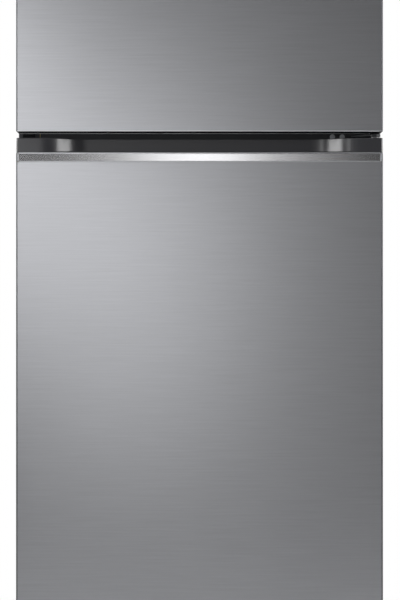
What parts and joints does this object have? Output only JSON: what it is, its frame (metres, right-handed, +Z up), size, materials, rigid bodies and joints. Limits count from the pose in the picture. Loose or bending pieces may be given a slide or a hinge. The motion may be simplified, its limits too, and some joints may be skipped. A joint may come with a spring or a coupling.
{
  "type": "top freezer refrigerator",
  "caption": "Two-door refrigerator with the freezer on top, a pocket handle band between the doors, glass shelves, drawers and door bins inside.",
  "frame": {"origin": "on the floor, under the middle of the bounding box", "axes": "+X to the viewer's right, where the hinges are; -Y out of the doors' front; +Z up"},
  "size_m": [0.7, 0.73, 1.78],
  "materials": {
    "silver_steel": "satin brushed-look metallic coat",
    "grey_case_paint": "satin",
    "zinc_steel": "zinc plated",
    "bright_strip": "satin anodised",
    "dark_plastic": "fine matt grain",
    "white_liner": "vacuum-formed gloss",
    "white_plastic": "moulded semi-gloss",
    "clear_plastic": "clear moulded",
    "pane_glass": "clear toughened",
    "gasket_vinyl": "soft matt",
    "black_rubber": "matt",
    "insulation": "rigid foam",
    "compressor_enamel": "gloss enamel",
    "coil_enamel": "gloss enamel",
    "fin_aluminium": "mill",
    "galvanised": "galvanised"
  },
  "bodies": {
    "cabinet": {"outer_case": "grey_case_paint", "back_panel": "galvanised", "base_frame": "galvanised", "cabinet_foam": "insulation", "freezer_liner": "white_liner", "fridge_liner": "white_liner", "shelf_rails": "white_plastic", "mullion_rail": "grey_case_paint", "toe_grille": "dark_plastic", "machine_cover": "galvanised", "top_hinge": "zinc_steel", "top_hinge_cover": "dark_plastic", "middle_hinge": "zinc_steel", "bottom_hinge": "zinc_steel", "hinge_screws": "zinc_steel", "hole_covers": "dark_plastic", "compressor": "compressor_enamel", "compressor_mounts": "black_rubber", "condenser_coil": "coil_enamel", "condenser_shroud": "dark_plastic", "drain_pan": "dark_plastic", "roller_axles": "zinc_steel", "fan_motors": "galvanised", "evaporator_cover": "white_plastic", "evaporator": "fin_aluminium", "freezer_shelf": "white_plastic", "ice_tray_housing": "white_plastic", "air_duct": "white_plastic", "lamp_lens": "clear_plastic", "control_housing": "white_plastic", "crisper_cover": "white_plastic", "shelf_frames": "white_plastic", "shelf_panes": "pane_glass"},
    "evaporator_fan": {"evaporator_fan": "white_plastic"},
    "condenser_fan": {"condenser_fan": "white_plastic"},
    "ice_tray": {"ice_tray": "white_plastic"},
    "ice_bin": {"ice_bin": "clear_plastic"},
    "temperature_knob": {"temperature_knob": "dark_plastic"},
    "humidity_slider": {"humidity_slider": "dark_plastic"},
    "crisper_drawer": {"crisper_drawer": "clear_plastic"},
    "chill_drawer": {"chill_drawer": "clear_plastic"},
    "roller_left": {"roller_left": "black_rubber"},
    "roller_right": {"roller_right": "black_rubber"},
    "foot_left": {"foot_left": "dark_plastic"},
    "foot_right": {"foot_right": "dark_plastic"},
    "freezer_door": {"freezer_door_skin": "silver_steel", "freezer_door_foam": "insulation", "freezer_door_liner": "white_liner", "freezer_door_top_cap": "dark_plastic", "freezer_door_bottom_cap": "dark_plastic", "freezer_door_gasket": "gasket_vinyl", "freezer_door_bins": "clear_plastic"},
    "fridge_door": {"fridge_door_skin": "silver_steel", "fridge_door_foam": "insulation", "fridge_door_liner": "white_liner", "handle_cap": "dark_plastic", "handle_strip": "bright_strip", "fridge_door_bottom_cap": "dark_plastic", "fridge_door_gasket": "gasket_vinyl", "fridge_door_bins": "clear_plastic"}
  },
  "joints": [
    {"name": "freezer_door_hinge", "type": "hinge", "parent": "cabinet", "child": "freezer_door", "pos_m": [0.336, -0.337, 1.48], "axis": [0, 0, 1], "range_deg": [0, 130]},
    {"name": "fridge_door_hinge", "type": "hinge", "parent": "cabinet", "child": "fridge_door", "pos_m": [0.336, -0.337, 0.63], "axis": [0, 0, 1], "range_deg": [0, 130]},
    {"name": "crisper_slide", "type": "slide", "parent": "cabinet", "child": "crisper_drawer", "axis": [0, -1, 0], "range_m": [0, 0.24]},
    {"name": "chill_drawer_slide", "type": "slide", "parent": "cabinet", "child": "chill_drawer", "axis": [0, -1, 0], "range_m": [0, 0.24]},
    {"name": "ice_bin_slide", "type": "slide", "parent": "cabinet", "child": "ice_bin", "axis": [0, -1, 0], "range_m": [0, 0.15]},
    {"name": "ice_tray_twist", "type": "hinge", "parent": "cabinet", "child": "ice_tray", "pos_m": [-0.222, -0.045, 1.64], "axis": [0, 1, 0], "range_deg": [0, 120], "stiffness_Nm_per_rad": 0.25},
    {"name": "temperature_knob_turn", "type": "hinge", "parent": "cabinet", "child": "temperature_knob", "pos_m": [0.07, -0.167, 1.151], "axis": [0, -1, 0], "range_deg": [-135, 135]},
    {"name": "humidity_slide", "type": "slide", "parent": "cabinet", "child": "humidity_slider", "axis": [1, 0, 0], "range_m": [-0.03, 0.03]},
    {"name": "roller_left_spin", "type": "hinge", "parent": "cabinet", "child": "roller_left", "pos_m": [-0.3, 0.3, 0.016], "axis": [1, 0, 0], "continuous": true},
    {"name": "roller_right_spin", "type": "hinge", "parent": "cabinet", "child": "roller_right", "pos_m": [0.3, 0.3, 0.016], "axis": [1, 0, 0], "continuous": true},
    {"name": "foot_left_screw", "type": "slide", "parent": "cabinet", "child": "foot_left", "axis": [0, 0, -1], "range_m": [0, 0.008]},
    {"name": "foot_right_screw", "type": "slide", "parent": "cabinet", "child": "foot_right", "axis": [0, 0, -1], "range_m": [0, 0.008]},
    {"name": "evaporator_fan_spin", "type": "hinge", "parent": "cabinet", "child": "evaporator_fan", "pos_m": [0, 0.267, 1.57], "axis": [0, 1, 0], "continuous": true},
    {"name": "condenser_fan_spin", "type": "hinge", "parent": "cabinet", "child": "condenser_fan", "pos_m": [-0.102, 0.262, 0.135], "axis": [1, 0, 0], "continuous": true}
  ],
  "couplings": [
    {"joint": "crisper_slide", "follows": "fridge_door_hinge", "m_per_rad": 0.1055},
    {"joint": "chill_drawer_slide", "follows": "fridge_door_hinge", "m_per_rad": 0.1055},
    {"joint": "ice_bin_slide", "follows": "freezer_door_hinge", "m_per_rad": 0.066}
  ]
}
